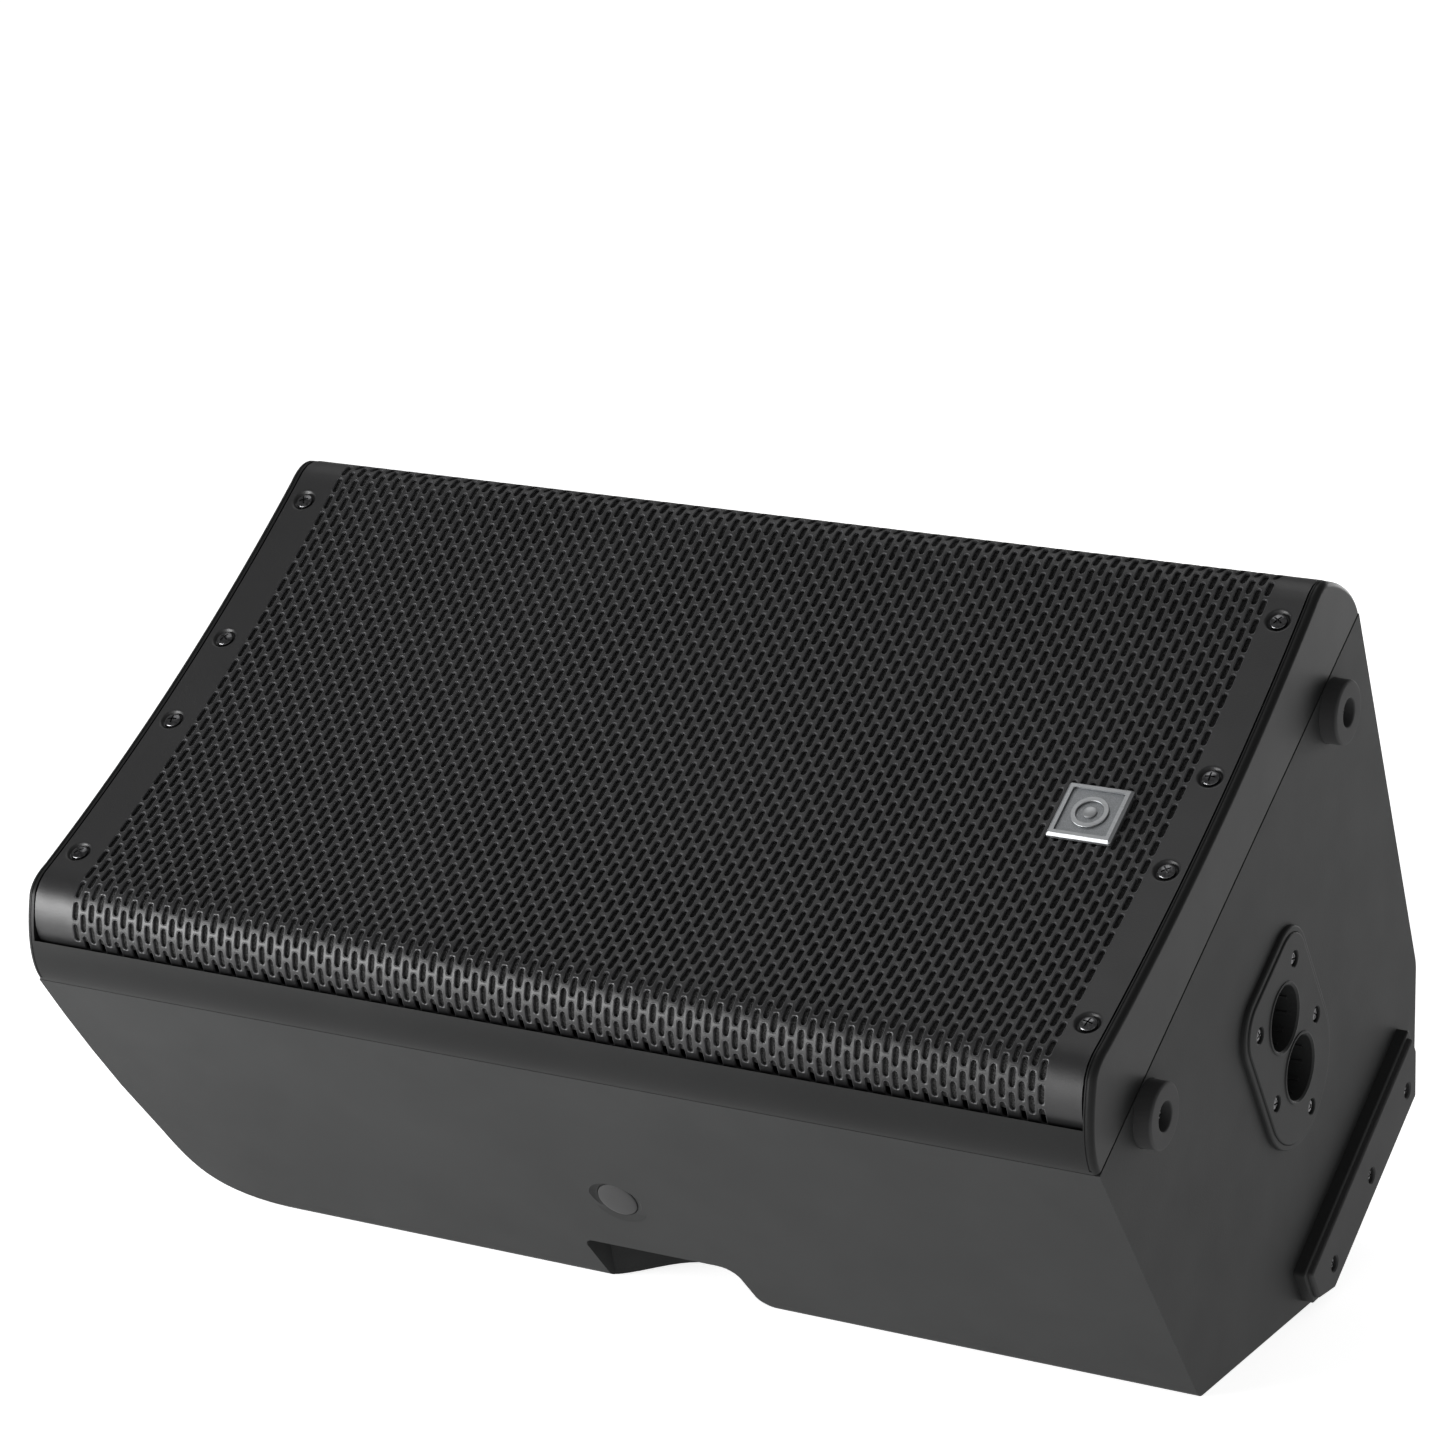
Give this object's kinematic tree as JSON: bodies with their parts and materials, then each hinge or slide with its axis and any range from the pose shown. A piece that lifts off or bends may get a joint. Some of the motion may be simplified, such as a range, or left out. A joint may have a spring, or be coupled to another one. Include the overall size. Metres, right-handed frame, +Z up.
{
  "type": "stage monitor wedge",
  "caption": "Moulded plastic two-way stage loudspeaker lying on its floor face as a wedge, with a perforated grille, pole sockets, feet, grips and an amplifier panel.",
  "frame": {"origin": "middle of the bounding box's footprint, on the surface the wedge lies on", "axes": "+X along the length towards the end with the pole sockets and feet, -Y towards the audience side that the near side faces, +Z up; the front looks up and towards -Y"},
  "size_m": [0.6664, 0.442, 0.414],
  "materials": {
    "shell": "fine moulded texture, charcoal",
    "grille": "black powder coat, satin",
    "foam": "open-cell acoustic foam",
    "rubber": "matte moulded rubber",
    "badge": "cast, bright rim with brushed field",
    "screws": "black oxide",
    "cone": "pressed paper pulp",
    "basket": "black paint on steel",
    "magnet": "ferrite between plated steel plates",
    "panel": "textured black paint",
    "heatsink": "extruded, black anodised",
    "board": "green solder mask",
    "plastic": "black, satin",
    "display": "dark window",
    "steel": "nickel plate",
    "wadding": "polyester wadding"
  },
  "bodies": {
    "cabinet": {"front_frame": "shell", "rear_shell": "shell", "grille": "grille", "grille_foam": "foam", "badge": "badge", "grille_screw_1": "screws", "grille_screw_2": "screws", "grille_screw_3": "screws", "grille_screw_4": "screws", "grille_screw_5": "screws", "grille_screw_6": "screws", "grille_screw_7": "screws", "grille_screw_8": "screws", "pole_mount": "shell", "foot_near": "rubber", "foot_screw_near": "screws", "foot_far": "rubber", "foot_screw_far": "screws", "foot_strip": "rubber", "strip_screw_1": "screws", "strip_screw_2": "screws", "strip_screw_3": "screws", "rigging_plug_near": "rubber", "rigging_plug_far": "rubber", "top_grip_bar": "rubber", "woofer_basket": "basket", "woofer_magnet": "magnet", "woofer_surround": "rubber", "woofer_spider": "cone", "horn_flare": "plastic", "compression_driver": "magnet", "port_near": "plastic", "port_far": "plastic", "amp_panel": "panel", "amp_heatsink": "heatsink", "input_socket_1": "plastic", "input_socket_2": "plastic", "link_socket": "plastic", "display_window": "display", "mains_inlet": "plastic", "power_switch_frame": "plastic", "power_supply_board": "board", "amplifier_board": "board", "signal_board": "board", "woofer_lead": "rubber", "horn_lead": "rubber", "wadding": "wadding"},
    "cone_assembly": {"woofer_cone": "cone", "woofer_dust_cap": "cone", "voice_coil": "magnet"},
    "gain_knob_1_body": {"gain_knob_1": "plastic"},
    "gain_knob_2_body": {"gain_knob_2": "plastic"},
    "menu_encoder_body": {"menu_encoder": "plastic"},
    "menu_button_1_body": {"menu_button_1": "rubber"},
    "menu_button_2_body": {"menu_button_2": "rubber"},
    "menu_button_3_body": {"menu_button_3": "rubber"},
    "latch_1_body": {"input_socket_1_latch": "steel"},
    "latch_2_body": {"input_socket_2_latch": "steel"},
    "rocker_body": {"power_rocker": "plastic"}
  },
  "joints": [
    {"name": "cone_travel", "type": "slide", "parent": "cabinet", "child": "cone_assembly", "axis": [0, -0.5592, 0.829], "range_m": [-0.005, 0.005], "stiffness_N_per_m": 3000},
    {"name": "gain_1_turn", "type": "hinge", "parent": "cabinet", "child": "gain_knob_1_body", "pos_m": [0.06525, 0.10816, 0.03796], "axis": [0, -0.5592, 0.829], "range_deg": [-150, 150]},
    {"name": "gain_2_turn", "type": "hinge", "parent": "cabinet", "child": "gain_knob_2_body", "pos_m": [0.06525, 0.13966, 0.05921], "axis": [0, -0.5592, 0.829], "range_deg": [-150, 150]},
    {"name": "encoder_turn", "type": "hinge", "parent": "cabinet", "child": "menu_encoder_body", "pos_m": [0.06525, 0.17946, 0.08605], "axis": [0, -0.5592, 0.829], "continuous": true},
    {"name": "button_1_press", "type": "slide", "parent": "cabinet", "child": "menu_button_1_body", "axis": [0, -0.5592, 0.829], "range_m": [0, 0.0012], "stiffness_N_per_m": 800, "springref_m": -0.0005},
    {"name": "button_2_press", "type": "slide", "parent": "cabinet", "child": "menu_button_2_body", "axis": [0, -0.5592, 0.829], "range_m": [0, 0.0012], "stiffness_N_per_m": 800, "springref_m": -0.0005},
    {"name": "button_3_press", "type": "slide", "parent": "cabinet", "child": "menu_button_3_body", "axis": [0, -0.5592, 0.829], "range_m": [0, 0.0012], "stiffness_N_per_m": 800, "springref_m": -0.0005},
    {"name": "latch_1_press", "type": "slide", "parent": "cabinet", "child": "latch_1_body", "axis": [0, -0.5592, 0.829], "range_m": [0, 0.0015], "stiffness_N_per_m": 600, "springref_m": -0.0005},
    {"name": "latch_2_press", "type": "slide", "parent": "cabinet", "child": "latch_2_body", "axis": [0, -0.5592, 0.829], "range_m": [0, 0.0015], "stiffness_N_per_m": 600, "springref_m": -0.0005},
    {"name": "power_rock", "type": "hinge", "parent": "cabinet", "child": "rocker_body", "pos_m": [0.25725, 0.16409, 0.07665], "axis": [0, -0.829, -0.5592], "range_deg": [0, 24]}
  ]
}
